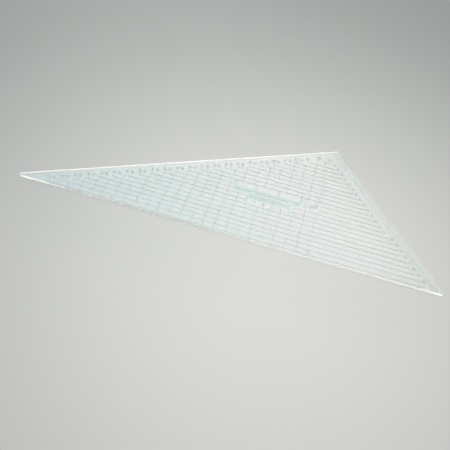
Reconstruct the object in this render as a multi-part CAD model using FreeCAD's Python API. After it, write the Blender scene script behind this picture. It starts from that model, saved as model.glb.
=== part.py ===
import FreeCAD, Part
import math
import os

# Quilting triangle ruler: a flat clear acrylic plate with three straight guide
# edges, a hanging hole and a screen-printed measuring grid on its upper face.
# Drawing frame: the long edge lies on the X axis with its sharp left corner at
# the origin and the apex at +Y. At the end everything moves so that the origin
# is the centre of the plate's underside box. Lengths are in millimetres.

os.makedirs("parts", exist_ok=True)

# Plate: a triangle given by its sharp corners, then rounded
long_edge_length = 472.0
apex_x = 337.0
apex_height = 168.0
plate_thickness = 3.2
corner_radius = 1.8
edge_break = 0.4

# Hanging hole, placed from the apex
hang_hole_diameter = 9.5
hang_hole_left_of_apex = 13.0
hang_hole_below_apex = 98.7
hole_edge_break = 0.4
hole_clear_radius = 7.6

# Ink films: the first pass lies on the plate, the second runs over the first
first_pass_thickness = 0.05
second_pass_thickness = 0.10

# Lengthwise lines, parallel to the long edge, every quarter inch
row_pitch = 6.35
first_row_offset = 2.0
rows_per_inch = 4
row_line_width = 0.19
inch_row_line_width = 0.26
shortest_line = 3.0

# Cross lines, square to the long edge, every half inch up to the apex
cross_pitch = 12.7
first_cross_offset = 24.2
crosses_per_inch = 2
cross_line_width = 0.28
inch_cross_line_width = 0.35
cross_line_clear_of_apex = 5.0

# Quarter-inch seam line beside the right edge
seam_allowance = 6.35
seam_line_width = 0.32

# Numerals
inch_digit_height = 3.0
inch_digit_stroke = 0.42
fraction_height = 3.0
fraction_digit_height = 1.7
fraction_stroke = 0.28
digit_width = 0.6               # from stroke centre to stroke centre, share of the height
digit_spacing = 0.26            # gap between digits, share of the height
low_digit_shift = 0.72          # of a fraction's second digit, share of the height
cross_numeral_inset = 8.8       # from the left edge to a cross line numeral's centre
cross_numeral_right_inset = 18.3    # least, from the right edge
numeral_clearance = 0.2
row_numeral_left_inset = 10.3   # from the left edge to a row numeral's centre
top_row_numeral_inset = 16.9    # the same for the top row
row_numeral_right_inset = 15.8  # from the right edge, on the upper rows
low_numeral_right_inset = 12.0  # the same on the lower rows
first_upper_row = 9
row_numeral_lift = 1.2          # centre of a row numeral above its row
grid_left_inset = 14.6          # from the left edge to the ends of the grid lines
grid_right_gap = 2.9            # from a right-hand numeral's centre to its row

# Two scales back to back, with their numerals beyond their ticks, in windows left
# free of grid lines
inch = 25.4
centimetre = 10.0
scale_height = 7.0           # of a whole unit's tick
middle_tick_share = 0.85     # of that height, at half a unit
small_tick_share = 0.7
tick_share = 0.22            # tick width, as a share of the tick pitch
scale_line_width = 0.25
scale_digit_height = 3.2
scale_digit_stroke = 0.42
scale_digit_gap = 0.9
window_margin = 0.8
inch_scale_count = 3
ticks_per_inch = 16
inch_scale_left_of_apex = 104.5
inch_scale_below_apex = 102.4
centimetre_scale_count = 5
ticks_per_centimetre = 10
centimetre_scale_shift = 17.5
scale_spacing = 4.0          # between the lines of the two scales
up, down = 1, -1


# Geometry of the triangle

left_edge_length = math.hypot(apex_x, apex_height)
right_edge_run = long_edge_length - apex_x
right_edge_length = math.hypot(right_edge_run, apex_height)
top_z = plate_thickness

hole_x = apex_x - hang_hole_left_of_apex
hole_y = apex_height - hang_hole_below_apex


def x_beside_left_edge(inset, y):
    """X of the point that lies inset from the left edge at height y."""
    return (inset * left_edge_length + y * apex_x) / apex_height


def x_beside_right_edge(inset, y):
    """X of the point that lies inset from the right edge at height y."""
    return long_edge_length - (inset * right_edge_length + y * right_edge_run) / apex_height


def y_below_left_edge(inset, x):
    """Y of the point that lies inset from the left edge at position x."""
    return (x * apex_height - inset * left_edge_length) / apex_x


def y_below_right_edge(inset, x):
    """Y of the point that lies inset from the right edge at position x."""
    return ((long_edge_length - x) * apex_height - inset * right_edge_length) / right_edge_run


def inset_apex(inset):
    """Where the lines that run inset from both shorter edges meet."""
    both = inset * (left_edge_length + right_edge_length)
    y = (long_edge_length * apex_height - both) / (apex_x + right_edge_run)
    return x_beside_left_edge(inset, y), y


def vec(point, z=0.0):
    return FreeCAD.Vector(point[0], point[1], z)


def rounded_outline(corners, radius):
    """Closed wire through the corners, each replaced by a tangent arc."""
    edges, arcs = [], []
    count = len(corners)
    for i in range(count):
        corner = vec(corners[i])
        before = (vec(corners[i - 1]) - corner).normalize()
        after = (vec(corners[(i + 1) % count]) - corner).normalize()
        half = before.getAngle(after) / 2.0
        run = radius / math.tan(half)
        middle = (before + after).normalize()
        centre = corner + middle * (radius / math.sin(half))
        arcs.append((corner + before * run, centre - middle * radius, corner + after * run))
    for i in range(count):
        start, on_arc, end = arcs[i]
        edges.append(Part.Arc(start, on_arc, end).toShape())
        edges.append(Part.makeLine(end, arcs[(i + 1) % count][0]))
    return Part.Wire(edges)


def bar(x0, x1, y0, y1, thickness):
    """Flat block of ink on the plate's upper face."""
    return Part.makeBox(x1 - x0, y1 - y0, thickness, FreeCAD.Vector(x0, y0, top_z))


def clear_spans(start, end, gaps):
    """Parts of start..end outside the gaps, without scraps."""
    spans = [(start, end)]
    for low, high in gaps:
        left = []
        for a, b in spans:
            if high <= a or low >= b:
                left.append((a, b))
            else:
                left += [(a, low), (high, b)]
        spans = left
    return [(a, b) for a, b in spans if b - a >= shortest_line]


def hole_gap(across, centre_across, centre_along):
    """Gap that a line leaves around the hanging hole."""
    off = abs(across - centre_across)
    if off >= hole_clear_radius:
        return []
    half = math.sqrt(hole_clear_radius ** 2 - off ** 2)
    return [(centre_along - half, centre_along + half)]


# Windows for the scales, as (x0, y0, x1, y1)


inch_scale_x = apex_x - inch_scale_left_of_apex
inch_scale_y = apex_height - inch_scale_below_apex
centimetre_scale_x = inch_scale_x + centimetre_scale_shift
centimetre_scale_y = inch_scale_y - scale_spacing
scale_reach = scale_height + scale_digit_gap + scale_digit_height


def scale_window(x0, y0, length, way):
    """Window around a scale, with its zero at x0, y0, and its numerals."""
    ends = (y0, y0 + way * scale_reach)
    side = scale_digit_height / 2.0 + window_margin
    return (x0 - side, min(ends) - window_margin, x0 + length + side, max(ends) + window_margin)


windows = [scale_window(inch_scale_x, inch_scale_y, inch_scale_count * inch, up),
           scale_window(centimetre_scale_x, centimetre_scale_y,
                        centimetre_scale_count * centimetre, down)]


def gaps_of_cross_line(x):
    """Gaps, along Y, of the cross line at x."""
    return ([(y0, y1) for x0, y0, x1, y1 in windows if x0 < x < x1]
            + hole_gap(x, hole_x, hole_y))


def gaps_of_row(y):
    """Gaps, along X, of the lengthwise line at y."""
    return ([(x0, x1) for x0, y0, x1, y1 in windows if y0 < y < y1]
            + hole_gap(y, hole_y, hole_x))


# Plate

outline = rounded_outline(
    [(0.0, 0.0), (long_edge_length, 0.0), (apex_x, apex_height)], corner_radius)
blank = Part.Face(outline).extrude(FreeCAD.Vector(0, 0, plate_thickness))
rim = [e for e in blank.Edges
       if abs(e.BoundBox.ZMax - e.BoundBox.ZMin) < 1e-6]
plate = blank.makeChamfer(edge_break, rim)
hole_centre = FreeCAD.Vector(hole_x, hole_y, 0)
hole_radius = hang_hole_diameter / 2.0
plate = plate.cut(Part.makeCylinder(hole_radius, plate_thickness, hole_centre))
for z, r0, r1 in ((0.0, hole_radius + hole_edge_break, hole_radius),
                  (plate_thickness - hole_edge_break, hole_radius,
                   hole_radius + hole_edge_break)):
    plate = plate.cut(Part.makeCone(r0, r1, hole_edge_break,
                                    hole_centre + FreeCAD.Vector(0, 0, z)))

# Levels of the lengthwise lines, between the numerals at their two ends


def right_numeral_x(j, y):
    """X of row j's right-hand numeral when its centre is at height y."""
    inset = row_numeral_right_inset if j >= first_upper_row else low_numeral_right_inset
    return x_beside_right_edge(inset, y)


rows = []
y = first_row_offset
while True:
    row_start = x_beside_left_edge(grid_left_inset, y)
    row_end = right_numeral_x(len(rows), y + row_numeral_lift) - grid_right_gap
    if row_end - row_start < shortest_line:
        break
    rows.append((y, row_start, row_end))
    y += row_pitch


def left_numeral_x(j, y):
    """X of row j's left-hand numeral when its centre is at height y."""
    top = j == len(rows) - 1
    return x_beside_left_edge(top_row_numeral_inset if top else row_numeral_left_inset, y)


# The top row's left-hand numeral stands at the line's own start
y, row_start, row_end = rows[-1]
rows[-1] = (y, left_numeral_x(len(rows) - 1, y + row_numeral_lift) + grid_right_gap, row_end)


def numeral_width(count, per_inch):
    """Width of the numeral for count steps, over its strokes."""
    if count % per_inch:
        return (low_digit_shift * fraction_height + digit_width * fraction_digit_height
                + fraction_stroke)
    digits = len(str(count // per_inch))
    shares = digits * (digit_width + digit_spacing) - digit_spacing
    return shares * inch_digit_height + inch_digit_stroke


def cross_numeral_y(k, x):
    """Height of the numeral of cross line k at x: inset from both shorter edges, and
    below any row's numeral that stands in its way."""
    y = min(y_below_left_edge(cross_numeral_inset, x),
            y_below_right_edge(cross_numeral_right_inset, x))
    height = max(inch_digit_height, fraction_height) + inch_digit_stroke
    for j in range(len(rows) - 1, 0, -1):
        row_y = rows[j][0] + row_numeral_lift
        side = (numeral_width(k, crosses_per_inch) + numeral_width(j, rows_per_inch)) / 2.0
        beside = abs(left_numeral_x(j, row_y) - x) < side + numeral_clearance
        if beside and abs(row_y - y) < height + numeral_clearance:
            y = row_y - height - numeral_clearance
    return y


# Cross lines: first pass, in one straight bar each

cross_xs = []
x = first_cross_offset
while x < apex_x - cross_line_clear_of_apex:
    cross_xs.append(x)
    x += cross_pitch

below_numeral = (grid_left_inset - cross_numeral_inset) * left_edge_length / apex_x
cross_inch, cross_half = [], []
for k, x in enumerate(cross_xs, 1):
    whole_inch = k % crosses_per_inch == 0
    half_width = (inch_cross_line_width if whole_inch else cross_line_width) / 2.0
    for y0, y1 in clear_spans(first_row_offset, cross_numeral_y(k, x) - below_numeral,
                              gaps_of_cross_line(x)):
        line = bar(x - half_width, x + half_width, y0, y1, first_pass_thickness)
        (cross_inch if whole_inch else cross_half).append(line)
cross_lines = cross_inch + cross_half

# Lengthwise lines: left of the last cross line they belong to the square grid
# and step over the cross lines; right of it they run on alone

grid_end_x = cross_xs[-1]


def row_spans(y, half_width, x_start, x_end):
    """Ink of one lengthwise line between two places, cut around the cross lines."""
    solids = []
    for x0, x1 in clear_spans(x_start, x_end, gaps_of_row(y)):
        line = bar(x0, x1, y - half_width, y + half_width, second_pass_thickness)
        crossed = [c for c in cross_lines if c.distToShape(line)[0] < 1e-7]
        solids += line.cut(crossed).Solids if crossed else [line]
    return solids


grid_rows_inch, grid_rows_quarter, plain_rows_inch, plain_rows_quarter = [], [], [], []
for j, (y, row_start, row_end) in enumerate(rows):
    whole_inch = j % rows_per_inch == 0 and j > 0
    half_width = (inch_row_line_width if whole_inch else row_line_width) / 2.0
    in_grid = row_spans(y, half_width, row_start, min(row_end, grid_end_x))
    beyond = row_spans(y, half_width, max(row_start, grid_end_x), row_end)
    (grid_rows_inch if whole_inch else grid_rows_quarter).extend(in_grid)
    (plain_rows_inch if whole_inch else plain_rows_quarter).extend(beyond)

# Seam line: a strip from the first row's level up to the left-hand numerals

seam_near = seam_allowance - seam_line_width / 2.0
seam_far = seam_allowance + seam_line_width / 2.0
seam_top = inset_apex(seam_far)[1]
seam_points = [(x_beside_right_edge(inset, level), level)
               for inset, level in ((seam_near, first_row_offset), (seam_near, seam_top),
                                    (seam_far, seam_top), (seam_far, first_row_offset))]
seam_wire = Part.makePolygon([vec(p, top_z) for p in seam_points + seam_points[:1]])
seam_line = Part.Face(seam_wire).extrude(FreeCAD.Vector(0, 0, first_pass_thickness))

# Numerals drawn with strokes: straight ones (x0, y0, x1, y1) and arcs
# (centre x, centre y, radius, from angle, to angle), in shares of the height

strokes = {
    "0": [(0.0, 0.3, 0.0, 0.7), (0.6, 0.3, 0.6, 0.7),
          (0.3, 0.7, 0.3, 0, 180), (0.3, 0.3, 0.3, 180, 360)],
    "1": [(0.34, 0.0, 0.34, 1.0), (0.34, 1.0, 0.1, 0.78)],
    "2": [(0.3, 0.7, 0.3, -30, 170), (0.56, 0.55, 0.0, 0.0), (0.0, 0.0, 0.6, 0.0)],
    "3": [(0.28, 0.75, 0.25, -90, 150), (0.28, 0.25, 0.25, -150, 90)],
    "4": [(0.46, 0.0, 0.46, 1.0), (0.46, 1.0, 0.0, 0.3), (0.0, 0.3, 0.62, 0.3)],
    "5": [(0.54, 1.0, 0.08, 1.0), (0.08, 1.0, 0.08, 0.54), (0.28, 0.3, 0.3, -140, 132)],
    "6": [(0.3, 0.3, 0.3, 0, 360), (0.01, 0.36, 0.42, 1.0)],
    "7": [(0.0, 1.0, 0.6, 1.0), (0.6, 1.0, 0.2, 0.0)],
    "8": [(0.3, 0.75, 0.24, 0, 360), (0.3, 0.26, 0.26, 0, 360)],
    "9": [(0.3, 0.7, 0.3, 0, 360), (0.59, 0.64, 0.18, 0.0)],
}


def stroke_face(stroke, size, width, origin):
    """Flat face of one stroke of a digit."""
    half = width / 2.0
    if len(stroke) == 4:
        a = origin + FreeCAD.Vector(stroke[0] * size, stroke[1] * size, 0)
        b = origin + FreeCAD.Vector(stroke[2] * size, stroke[3] * size, 0)
        along = (b - a).normalize() * half
        side = FreeCAD.Vector(-along.y, along.x, 0)
        a, b = a - along, b + along
        wire = Part.makePolygon([a - side, b - side, b + side, a + side, a - side])
        return Part.Face(wire)
    centre = origin + FreeCAD.Vector(stroke[0] * size, stroke[1] * size, 0)
    radius, up = stroke[2] * size, FreeCAD.Vector(0, 0, 1)
    start, end = stroke[3], stroke[4]
    if end - start >= 360:
        outer, inner = [Part.Face(Part.Wire(Part.makeCircle(r, centre, up)))
                        for r in (radius + half, radius - half)]
        return outer.cut(inner).Faces[0]
    outer = Part.makeCircle(radius + half, centre, up, start, end)
    inner = Part.makeCircle(radius - half, centre, up, start, end)
    first = Part.makeLine(inner.valueAt(inner.FirstParameter), outer.valueAt(outer.FirstParameter))
    last = Part.makeLine(outer.valueAt(outer.LastParameter), inner.valueAt(inner.LastParameter))
    return Part.Face(Part.Wire(Part.__sortEdges__([first, outer, last, inner])))


def ink(stroke_list, size, width, x, y):
    """Joined ink of some strokes, with the lower left corner at x, y."""
    origin = FreeCAD.Vector(x, y, top_z)
    rise = FreeCAD.Vector(0, 0, first_pass_thickness)
    pieces = [stroke_face(s, size, width, origin).extrude(rise) for s in stroke_list]
    if len(pieces) == 1:
        return pieces
    return pieces[0].multiFuse(pieces[1:]).removeSplitter().Solids


def number(value, size, width, centre_x, centre_y):
    """Ink of a whole number, centred on a point."""
    text = str(value)
    step = (digit_width + digit_spacing) * size
    x = centre_x - (step * len(text) - digit_spacing * size) / 2.0
    solids = []
    for i, name in enumerate(text):
        solids += ink(strokes[name], size, width, x + i * step, centre_y - size / 2.0)
    return solids


def fraction(part, whole, centre_x, centre_y):
    """Ink of part/whole in lowest terms: a raised digit, a slash, a low digit."""
    shared = math.gcd(part, whole)
    size, width = fraction_digit_height, fraction_stroke
    x = centre_x - 0.54 * fraction_height
    y = centre_y - fraction_height / 2.0
    solids = ink(strokes[str(part // shared)], size, width, x, y + fraction_height - size)
    solids += ink([(0.30, 0.02, 0.78, 0.98)], fraction_height, width, x, y)
    solids += ink(strokes[str(whole // shared)], size, width, x + low_digit_shift * fraction_height, y)
    return solids


def place_numeral(count, per_inch, x, y, wholes, parts):
    """Puts the numeral for count steps in the list of wholes or that of fractions."""
    if count % per_inch == 0:
        wholes += number(count // per_inch, inch_digit_height, inch_digit_stroke, x, y)
    else:
        parts += fraction(count % per_inch, per_inch, x, y)


cross_inch_numerals, cross_half_marks = [], []
for k, x in enumerate(cross_xs, 1):
    y = cross_numeral_y(k, x)
    if y - inch_digit_height / 2.0 > first_row_offset + row_line_width:
        place_numeral(k, crosses_per_inch, x, y, cross_inch_numerals, cross_half_marks)

left_row_numerals, left_row_marks, right_row_numerals, right_row_marks = [], [], [], []
for j, (y, row_start, row_end) in enumerate(rows[1:], 1):
    y += row_numeral_lift
    place_numeral(j, rows_per_inch, left_numeral_x(j, y), y,
                  left_row_numerals, left_row_marks)
    place_numeral(j, rows_per_inch, right_numeral_x(j, y), y,
                  right_row_numerals, right_row_marks)

# Scales: a comb of ticks on a line, numerals beyond the ticks of the whole units


def scale_comb(x0, y0, unit, count, ticks_per_unit, way):
    """Line and ticks of a scale in one piece: out along the right of each tick, back
    along its left."""
    pitch, last = unit / ticks_per_unit, count * ticks_per_unit
    half, line_edge = pitch * tick_share / 2.0, y0 + way * scale_line_width
    points = [(x0 - half, y0), (x0 + last * pitch + half, y0)]
    for i in range(last, -1, -1):
        x = x0 + i * pitch
        share = small_tick_share
        if 2 * i % ticks_per_unit == 0:
            share = 1.0 if i % ticks_per_unit == 0 else middle_tick_share
        tip = y0 + way * share * scale_height
        points += [(x + half, tip), (x - half, tip)]
        if i:
            points += [(x - half, line_edge), (x - pitch + half, line_edge)]
    wire = Part.makePolygon([vec(p, top_z) for p in points + points[:1]])
    return [Part.Face(wire).extrude(FreeCAD.Vector(0, 0, first_pass_thickness))]


def scale_numbers(x0, y0, unit, count, way):
    """Numerals 0 to count, one beyond each whole unit's tick."""
    y = y0 + way * (scale_reach - scale_digit_height / 2.0)
    solids = []
    for i in range(count + 1):
        solids += number(i, scale_digit_height, scale_digit_stroke, x0 + i * unit, y)
    return solids


inch_scale = scale_comb(inch_scale_x, inch_scale_y, inch, inch_scale_count,
                        ticks_per_inch, up)
inch_scale_numerals = scale_numbers(inch_scale_x, inch_scale_y, inch, inch_scale_count, up)
centimetre_scale = scale_comb(centimetre_scale_x, centimetre_scale_y, centimetre,
                              centimetre_scale_count, ticks_per_centimetre, down)
centimetre_scale_numerals = scale_numbers(centimetre_scale_x, centimetre_scale_y, centimetre,
                                          centimetre_scale_count, down)

# Output: origin at the centre of the plate's box, on the underside

box = plate.BoundBox
to_frame = FreeCAD.Vector(-(box.XMin + box.XMax) / 2.0, -(box.YMin + box.YMax) / 2.0, 0)

nodes = {
    "acrylic_plate": [plate],
    "cross_lines_inch": cross_inch,
    "cross_lines_half_inch": cross_half,
    "grid_rows_inch": grid_rows_inch,
    "grid_rows_quarter_inch": grid_rows_quarter,
    "plain_rows_inch": plain_rows_inch,
    "plain_rows_quarter_inch": plain_rows_quarter,
    "seam_line_right_edge": [seam_line],
    "cross_line_inch_numerals": cross_inch_numerals,
    "cross_line_half_marks": cross_half_marks,
    "left_row_inch_numerals": left_row_numerals,
    "left_row_fraction_marks": left_row_marks,
    "right_row_inch_numerals": right_row_numerals,
    "right_row_fraction_marks": right_row_marks,
    "inch_scale": inch_scale,
    "inch_scale_numerals": inch_scale_numerals,
    "centimetre_scale": centimetre_scale,
    "centimetre_scale_numerals": centimetre_scale_numerals,
}

for name, solids in nodes.items():
    shape = solids[0] if len(solids) == 1 else Part.makeCompound(solids)
    shape.translate(to_frame)
    shape.exportStep("parts/%s.step" % name)
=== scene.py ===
import math

import bpy
import numpy as np
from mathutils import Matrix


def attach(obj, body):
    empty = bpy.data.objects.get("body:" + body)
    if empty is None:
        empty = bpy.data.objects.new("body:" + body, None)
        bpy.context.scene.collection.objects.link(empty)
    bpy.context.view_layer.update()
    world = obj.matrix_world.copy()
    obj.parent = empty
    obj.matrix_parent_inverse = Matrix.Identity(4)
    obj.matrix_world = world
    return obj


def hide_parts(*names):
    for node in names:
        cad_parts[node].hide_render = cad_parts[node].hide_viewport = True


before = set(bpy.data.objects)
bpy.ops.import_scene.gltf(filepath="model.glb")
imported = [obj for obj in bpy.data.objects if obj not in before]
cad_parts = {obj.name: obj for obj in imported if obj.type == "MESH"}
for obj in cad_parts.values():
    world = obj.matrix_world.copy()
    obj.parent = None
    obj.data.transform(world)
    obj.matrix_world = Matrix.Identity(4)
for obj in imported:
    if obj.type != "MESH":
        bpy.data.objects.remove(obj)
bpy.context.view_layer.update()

mm = 0.001


# Colours and nodes

def linear(hexText, alpha=1.0):
    # sRGB hex to linear: c / 12.92 below 0.04045, else ((c + 0.055) / 1.055) to the power 2.4
    c = np.array([int(hexText[i:i + 2], 16) / 255 for i in (1, 3, 5)])
    low, high = c / 12.92, ((c + 0.055) / 1.055) ** 2.4
    return (*np.where(c <= 0.04045, low, high), alpha)


def addNode(tree, kind, inputs=None, **settings):
    # one node with its settings; each input takes a plain value or another node's output
    node = tree.nodes.new("ShaderNode" + kind)
    for name, value in settings.items():
        setattr(node, name, value)
    for socket, value in (inputs or {}).items():
        if isinstance(value, bpy.types.NodeSocket):
            tree.links.new(value, node.inputs[socket])
        else:
            node.inputs[socket].default_value = value
    return node


def newMaterial(name):
    # a material whose node tree is still empty
    material = bpy.data.materials.new(name)
    material.use_nodes = True
    material.node_tree.nodes.clear()
    return material, material.node_tree


def finishMaterial(tree, surface):
    # ends a node tree with the surface it gives
    addNode(tree, "OutputMaterial", {"Surface": surface})


def lightThrough(tree, surface, shade):
    # for shadow rays and rays scattered by the floor the sheet is a plain tinted filter,
    # so that the light which passes it is counted once
    ray = addNode(tree, "LightPath")
    either = addNode(tree, "Math", {0: ray.outputs["Is Shadow Ray"],
                     1: ray.outputs["Is Diffuse Ray"]}, operation="MAXIMUM")
    tint = addNode(tree, "BsdfTransparent", {"Color": linear(shade)})
    mix = addNode(tree, "MixShader", {0: either.outputs[0], 1: surface, 2: tint.outputs[0]})
    finishMaterial(tree, mix.outputs[0])


def setRamp(node, stops):
    # puts (position, colour) stops on a colour ramp, which has two to begin with
    ramp = node.color_ramp.elements
    for i, (where, colour) in enumerate(stops):
        stop = ramp[i] if i < 2 else ramp.new(where)
        stop.position, stop.color = where, linear(colour) if isinstance(colour, str) else colour


def setMaterial(thing, *materials):
    # fills the slots in order, adding the ones that are missing
    slots = thing.data.materials
    for i, material in enumerate(materials):
        if i < len(slots):
            slots[i] = material
        else:
            slots.append(material)


# Sizes of the plate in mm, of its sharp corners before rounding

plateSizes = {"longEdge": 472.0, "apexX": 337.0, "apexHeight": 168.0, "thickness": 3.2,
              "cornerRadius": 1.8, "edgeBreak": 0.4, "holeRadius": 4.75,
              "holeX": 324.0, "holeY": 69.3, "edgeStep": 4.0, "cornerSteps": 14,
              "breakSteps": 4, "support": 0.15}


def triangleOutline(sizes):
    # each corner becomes an arc about the point r / sin(half angle) inwards along the
    # bisector; between arcs the edge is divided evenly. Returns points and outward normals
    apex = [sizes["apexX"], sizes["apexHeight"]]
    corners = np.array([[0, 0], [sizes["longEdge"], 0], apex], float)
    r = sizes["cornerRadius"]
    ahead = np.roll(corners, -1, 0) - corners
    ahead /= np.linalg.norm(ahead, axis=1)[:, None]
    outward = np.stack([ahead[:, 1], -ahead[:, 0]], 1)     # of the edge that leaves each corner
    before = np.roll(outward, 1, 0)                        # of the edge that reaches it
    bisector = outward + before
    bisector /= np.linalg.norm(bisector, axis=1)[:, None]
    sinHalf = np.sum(bisector * outward, 1)
    centres = corners - bisector * (r / sinHalf)[:, None]
    start = np.arctan2(before[:, 1], before[:, 0])
    sweep = (np.arctan2(outward[:, 1], outward[:, 0]) - start) % (2 * np.pi)
    points, normals = [], []
    for i in range(3):
        turn = start[i] + sweep[i] * np.linspace(0, 1, sizes["cornerSteps"] + 1)
        n = np.stack([np.cos(turn), np.sin(turn)], 1)
        points.append(centres[i] + r * n)
        normals.append(n)
        a = centres[i] + r * outward[i]
        b = centres[(i + 1) % 3] + r * outward[i]
        steps = int(np.linalg.norm(b - a) / sizes["edgeStep"])
        t = np.linspace(0, 1, steps + 1)[1:-1, None]
        points.append(a + (b - a) * t)
        normals.append(np.repeat(outward[i][None], len(t), 0))
    return np.concatenate(points), np.concatenate(normals)


# The frame's origin is the centre of the outline's box
outline, outwards = triangleOutline(plateSizes)
middle = (outline.min(0) + outline.max(0)) / 2


# Cast acrylic sheet, polished faces: clear, glossy, a faint green-blue body, with a
# light haze of wiping marks and dust that scatters some of the studio light

acrylicFace = {"body": "#FDFEFE", "clear": 0.92, "ior": 1.49, "roughness": 0.09, "roughest": 1.9,
               "markLength": 22.0, "markWidth": 0.9, "markTurn": 14.0, "shade": "#F9FAFA"}


def castAcrylic(look):
    # roughness goes from its value to roughest times that, with the noise
    material, tree = newMaterial("castAcrylicPolished")
    place = addNode(tree, "TexCoord").outputs["Object"]
    # wiping marks: noise stretched along the sheet, real marks are finer than a pixel
    marks = addNode(tree, "Mapping", {
        "Vector": place, "Rotation": (0, 0, math.radians(look["markTurn"])),
        "Scale": (1000 / look["markLength"], 1000 / look["markWidth"], 1)})
    noise = addNode(tree, "TexNoise", {"Vector": marks.outputs[0], "Scale": 1.0, "Detail": 3.0})
    rough = addNode(tree, "MapRange", {"Value": noise.outputs["Fac"], "To Min": look["roughness"],
                    "To Max": look["roughness"] * look["roughest"]})
    glass = addNode(tree, "BsdfPrincipled", {
        "Base Color": linear(look["body"]), "IOR": look["ior"], "Roughness": rough.outputs[0],
        "Transmission Weight": look["clear"]})
    lightThrough(tree, glass.outputs[0], look["shade"])
    return material


# The same sheet where it was cut: the saw and the scraper leave a satin edge with fine
# marks across the thickness. It passes light on in all directions, so it glows white,
# with painted shade over the middle distances and painted light further on, by the
# distance in mm from the left edge

acrylicEdge = {"name": "cutAcrylicSatin", "body": "#FDFDFB", "clear": 0.55, "glow": 0.55,
               "leastGlow": 0.30, "farGlow": 0.88, "backShare": 0.4, "paintedShadeFrom": 10.0,
               "paintedShadeTo": 140.0, "ior": 1.49, "roughness": 0.35, "unevenness": 0.3,
               "markPitch": 1.1, "markScale": 60, "markDepth": 0.05, "shade": "#E6EDEA"}

# The drill leaves the wall of the hole frosted all round
acrylicHole = {**acrylicEdge, "name": "drilledAcrylicSatin", "glow": 0.85, "leastGlow": 0.85,
               "farGlow": 0.85}


def cutAcrylic(look):
    # the share that glows is painted light and shade: glow at the left edge, leastGlow over the
    # middle distances and farGlow further on; the rest is glass, as rough as the noise makes it
    reach = 250.0                                          # mm, the far end of the ramp
    material, tree = newMaterial(look["name"])
    place = addNode(tree, "TexCoord").outputs["Object"]
    marks = addNode(tree, "Mapping", {"Vector": place, "Scale": (1000 / look["markPitch"],
                    1000 / look["markPitch"], look["markScale"])})
    noise = addNode(tree, "TexNoise", {"Vector": marks.outputs[0], "Scale": 1.0, "Detail": 4.0})
    rough = addNode(tree, "MapRange", {"Value": noise.outputs["Fac"],
                    "To Min": look["roughness"] * (1 - look["unevenness"]),
                    "To Max": look["roughness"] * (1 + look["unevenness"])})
    bump = addNode(tree, "Bump", {"Height": noise.outputs["Fac"], "Strength": 0.25,
                   "Distance": look["markDepth"] * mm})
    glass = addNode(tree, "BsdfPrincipled", {
        "Base Color": linear(look["body"]), "IOR": look["ior"], "Roughness": rough.outputs[0],
        "Transmission Weight": look["clear"], "Normal": bump.outputs[0]})
    # distance from the left edge: the place times that edge's inward normal, plus an offset
    slope = math.atan2(plateSizes["apexHeight"], plateSizes["apexX"])
    inward = addNode(tree, "VectorMath", {0: place, 1: (math.sin(slope), -math.cos(slope), 0)},
                     operation="DOT_PRODUCT")
    offset = (middle[0] * math.sin(slope) - middle[1] * math.cos(slope)) * mm
    away = addNode(tree, "Math", {0: inward.outputs["Value"], 1: offset}, operation="ADD")
    along = addNode(tree, "MapRange", {"Value": away.outputs[0], "From Max": reach * mm})
    # painted light and shade: the glowing share rises and falls with the distance from the left
    # edge
    frostAndPaintedShading = addNode(tree, "ValToRGB", {"Fac": along.outputs[0]})
    levels = ((look["paintedShadeFrom"], look["glow"]), (look["paintedShadeFrom"] * 2.0, look["leastGlow"]),
              (look["paintedShadeTo"] * 0.6, look["leastGlow"]), (look["paintedShadeTo"], look["farGlow"]))
    setRamp(frostAndPaintedShading, [(where / reach, (level, level, level, 1)) for where, level in levels])
    # the frosted part passes some of the light on and sends the rest back
    onward = addNode(tree, "BsdfTranslucent", {"Color": linear(look["body"])})
    back = addNode(tree, "BsdfDiffuse", {"Color": linear(look["body"])})
    glow = addNode(tree, "MixShader", {0: look["backShare"], 1: onward.outputs[0],
                   2: back.outputs[0]})
    lit = addNode(tree, "MixShader", {0: frostAndPaintedShading.outputs[0], 1: glass.outputs[0],
                  2: glow.outputs[0]})
    lightThrough(tree, lit.outputs[0], look["shade"])
    return material


# Screen-printed solvent ink: satin, slightly uneven where the mesh left more or less

tealInk = {"name": "screenInkTeal", "colour": "#88D6CD", "thin": "#98DED7", "roughness": 0.42,
           "grain": 0.9, "relief": 0.01}
greyInk = {**tealInk, "name": "screenInkGrey", "colour": "#747A7C", "thin": "#888F91"}


def screenInk(look):
    # the colour goes from full cover to thin with the noise, whose grain is in mm
    material, tree = newMaterial(look["name"])
    place = addNode(tree, "TexCoord").outputs["Object"]
    cover = addNode(tree, "TexNoise", {"Vector": place, "Scale": 1000 / look["grain"],
                    "Detail": 3.0})
    colour = addNode(tree, "Mix", {0: cover.outputs["Fac"], 6: linear(look["colour"]),
                     7: linear(look["thin"])}, data_type="RGBA")
    bump = addNode(tree, "Bump", {"Height": cover.outputs["Fac"], "Strength": 0.2,
                   "Distance": look["relief"] * mm})
    ink = addNode(tree, "BsdfPrincipled", {"Base Color": colour.outputs[2],
                  "Roughness": look["roughness"], "Normal": bump.outputs[0]})
    finishMaterial(tree, ink.outputs[0])
    return material


# Seamless studio paper under the object: matt and pale, with a fine grain of fibres that
# breaks up the light a little

floorPaper = {"colour": "#DDDDDB", "roughness": 0.75, "fibre": 0.6, "relief": 0.05,
              "backdrop": "#C9CBC9", "fadeFrom": 0.55, "fadeTo": 1.3}


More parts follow.
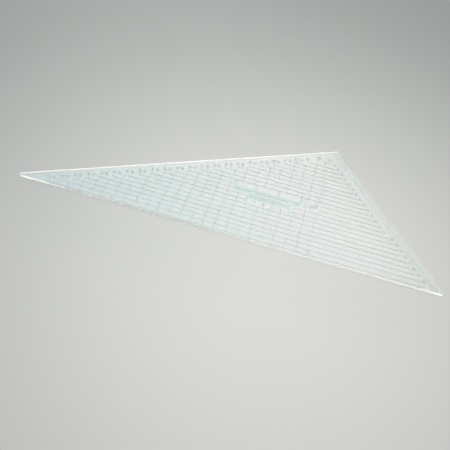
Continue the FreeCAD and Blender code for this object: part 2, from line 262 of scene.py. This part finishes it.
def studioPaper(look):
    material, tree = newMaterial("studioPaper")
    place = addNode(tree, "TexCoord").outputs["Object"]
    fibre = addNode(tree, "TexNoise", {"Vector": place, "Scale": 1000 / look["fibre"]})
    bump = addNode(tree, "Bump", {"Height": fibre.outputs["Fac"], "Strength": 0.05,
                   "Distance": look["relief"] * mm})
    paper = addNode(tree, "BsdfPrincipled", {"Base Color": linear(look["colour"]),
                    "Roughness": look["roughness"], "Specular IOR Level": 0.25,
                    "Normal": bump.outputs[0]})
    # the far paper, out of the lamps' reach, shows the camera the backdrop's shade: none
    # of it up to fadeFrom (m from the middle), all of it from fadeTo
    away = addNode(tree, "VectorMath", {0: place}, operation="LENGTH")
    far = addNode(tree, "MapRange", {"Value": away.outputs["Value"],
                  "From Min": look["fadeFrom"], "From Max": look["fadeTo"]})
    rays = addNode(tree, "LightPath")
    share = addNode(tree, "Math", {0: far.outputs[0], 1: rays.outputs["Is Camera Ray"]},
                    operation="MULTIPLY")
    shade = addNode(tree, "Emission", {"Color": linear(look["backdrop"]), "Strength": 1.0})
    shown = addNode(tree, "MixShader", {"Fac": share.outputs[0], 1: paper.outputs[0],
                    2: shade.outputs[0]})
    finishMaterial(tree, shown.outputs[0])
    return material


print("materials: polished and cut acrylic, two screen inks, studio paper")
polished = castAcrylic(acrylicFace)
satin, drilled = cutAcrylic(acrylicEdge), cutAcrylic(acrylicHole)
teal, grey = screenInk(tealInk), screenInk(greyInk)


# The plate

def plateSurface(sizes):
    # a closed loop swept round the plate: out over the top face, down the rim, in under
    # the bottom face and up the hole. The loop's outer stations are outline points moved
    # inwards by d, its inner stations lie on circles about the hole at the same bearing
    hole = np.array([sizes["holeX"], sizes["holeY"]])
    bearing = outline - hole
    bearing /= np.linalg.norm(bearing, axis=1)[:, None]
    t, e, s = sizes["thickness"], sizes["edgeBreak"], sizes["support"]
    quarter = np.linspace(0, np.pi / 2, sizes["breakSteps"] + 1)
    # quarter-round break from the face (d = e) to the wall (d = 0), as (d, depth)
    roundIn = e - e * np.sin(quarter)
    roundDown = e - e * np.cos(quarter)
    inset = np.concatenate([[e + s], roundIn, roundIn[::-1], [e + s]])
    level = np.concatenate([[t], t - roundDown, roundDown[::-1], [0]])
    outer = [np.column_stack([outline - outwards * d, np.full(len(outline), z)])
             for d, z in zip(inset, level)]
    inner = [np.column_stack([hole + bearing * (sizes["holeRadius"] + d), np.full(len(outline), z)])
             for d, z in zip(inset[::-1], level[::-1])]
    grid = np.stack(outer + inner)                          # loop station, place round the plate
    return grid, len(inset)


def closedGridMesh(name, grid):
    # joins a grid that closes on itself both ways into quads, facing outwards
    rows, cols = grid.shape[:2]
    i, j = np.meshgrid(np.arange(rows), np.arange(cols), indexing="ij")
    down, on = (i + 1) % rows, (j + 1) % cols
    quads = np.stack([i * cols + j, down * cols + j, down * cols + on, i * cols + on], -1)
    mesh = bpy.data.meshes.new(name)
    mesh.from_pydata(grid.reshape(-1, 3).tolist(), [], quads.reshape(-1, 4).tolist())
    mesh.update()
    return mesh


def buildPlate(sizes):
    # places the grid about the outline's middle and gives each band of faces its slot
    grid, stations = plateSurface(sizes)
    grid = (grid - [middle[0], middle[1], 0]) * mm
    mesh = closedGridMesh("acrylicSheet", grid)
    rows, cols = grid.shape[:2]
    band = np.repeat(np.arange(rows), cols)
    # the faces between the last outer and first inner station, and back, are the flat sides
    flat = ((band == stations - 1) | (band == rows - 1) | (band == 0) | (band == stations - 2)
            | (band == stations) | (band == rows - 2))
    slot = np.where(flat, 0, np.where(band < stations, 1, 2))
    mesh.polygons.foreach_set("material_index", slot.astype(np.int32))
    mesh.polygons.foreach_set("use_smooth", np.ones(len(band), bool))
    sheet = bpy.data.objects.new("acrylicSheet", mesh)
    bpy.context.scene.collection.objects.link(sheet)
    setMaterial(sheet, polished, satin, drilled)
    return sheet


sheet = buildPlate(plateSizes)
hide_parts("acrylic_plate")
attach(sheet, "root")
print("plate: rounded triangle with its hanging hole")


# The print stays as the CAD made it and takes its ink

for name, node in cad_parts.items():
    if name != "acrylic_plate":
        isTeal = name.startswith(("cross_lines", "seam", "inch_scale", "centimetre"))
        setMaterial(node, teal if isTeal else grey)
print("print: teal and grey ink on the CAD films")


# Floor

floorSizes = {"half": 4.0, "below": 0.0002}
half = floorSizes["half"]
floorMesh = bpy.data.meshes.new("studioFloor")
floorMesh.from_pydata([(-half, -half, 0), (half, -half, 0), (half, half, 0), (-half, half, 0)], [],
                      [(0, 1, 2, 3)])
studioFloor = bpy.data.objects.new("studioFloor", floorMesh)
studioFloor.location.z = -floorSizes["below"]
bpy.context.scene.collection.objects.link(studioFloor)
setMaterial(studioFloor, studioPaper(floorPaper))


# Lights: a soft box overhead, a large pale panel behind that shines in the sheet's
# face, and a low strip behind that lights the cut edges

lamps = {"softBox": {"place": (0.06, -0.135, 0.55), "aim": (0.061, -0.134, 0),
                     "size": (0.26, 0.26), "colour": "#FFFDFB", "watts": 2.58},
         "backPanel": {"place": (-0.22, 1.84, 1.95), "aim": (0, 0, 0), "size": (2.9, 1.05),
                       "colour": "#FFFFFF", "slant": 0.393, "watts": 57.0,
                       "across": ((0.05, "#E7E7E7"), (0.20, "#000000"), (0.28, "#AFB1AB"),
                                  (0.45, "#ABAAAD"), (0.70, "#8AA5A4"), (1.00, "#7DA2A8"))},
         "edgeStrip": {"place": (-1.10, 2.10, 0.09), "aim": (0, 0, 0), "size": (1.4, 0.14),
                       "colour": "#FFF8F2", "watts": 78.0}}


def addLamp(name, look):
    # an area lamp that faces its aim: tilted by the angle of the way from straight down
    lamp = bpy.data.lights.new(name, "AREA")
    lamp.shape = "RECTANGLE"
    lamp.size, lamp.size_y = look["size"]
    lamp.energy = look["watts"]
    lamp.color = linear(look["colour"])[:3]
    if "across" in look:
        # the colour changes across the panel, along its length plus slant times its height
        lamp.use_nodes = True
        tree = lamp.node_tree
        tree.nodes.clear()
        spot = addNode(tree, "SeparateXYZ", {0: addNode(tree, "NewGeometry").outputs["Parametric"]})
        slanted = addNode(tree, "Math", {0: spot.outputs["Y"], 1: look["slant"],
                          2: -look["slant"] / 2}, operation="MULTIPLY_ADD")
        along = addNode(tree, "Math", {0: spot.outputs["X"], 1: slanted.outputs[0]},
                        operation="ADD")
        blend = addNode(tree, "ValToRGB", {"Fac": along.outputs[0]})
        setRamp(blend, look["across"])
        shine = addNode(tree, "Emission", {"Color": blend.outputs[0], "Strength": 1.0})
        addNode(tree, "OutputLight", {"Surface": shine.outputs[0]})
    holder = bpy.data.objects.new(name, lamp)
    holder.location = look["place"]
    way = np.array(look["aim"]) - np.array(look["place"])
    holder.rotation_euler = (math.atan2(math.hypot(way[0], way[1]), -way[2]), 0,
                             math.atan2(-way[0], way[1]))
    bpy.context.scene.collection.objects.link(holder)


for name, look in lamps.items():
    addLamp(name, look)

# The backdrop far off: seen by the camera and through clear pieces, it lights nothing
surround = {"colour": "#C9CBC9", "strength": 1.0}
world = bpy.data.worlds.new("surround")
world.use_nodes = True
world.node_tree.nodes.clear()
rays = addNode(world.node_tree, "LightPath")
seen = addNode(world.node_tree, "Math", {0: rays.outputs["Is Camera Ray"],
               1: rays.outputs["Is Transmission Ray"]}, operation="MAXIMUM")
shown = addNode(world.node_tree, "Math", {0: seen.outputs[0], 1: surround["strength"]},
                operation="MULTIPLY")
sky = addNode(world.node_tree, "Background", {"Color": linear(surround["colour"]),
              "Strength": shown.outputs[0]})
addNode(world.node_tree, "OutputWorld", {"Surface": sky.outputs[0]})
bpy.context.scene.world = world
bpy.context.scene.view_settings.view_transform = "Standard"
print("studio: floor, three lamps and a pale backdrop")


# Camera, as the photograph was taken

viewpoint = {"place": (0.06226, -0.42196, 0.44480), "turn": (38.4208, -5.0013, 16.2219),
             "lens": 42.77, "sensor": 36.0, "shift": -0.0011, "nearest": 0.01}
cameraData = bpy.data.cameras.new("camera")
cameraData.lens = viewpoint["lens"]
cameraData.sensor_width = viewpoint["sensor"]
cameraData.shift_x = viewpoint["shift"]
cameraData.clip_start = viewpoint["nearest"]
camera = bpy.data.objects.new("camera", cameraData)
camera.location = viewpoint["place"]
camera.rotation_euler = [math.radians(a) for a in viewpoint["turn"]]
bpy.context.scene.collection.objects.link(camera)
bpy.context.scene.camera = camera
print("camera: in the photograph's place")

bpy.context.view_layer.update()
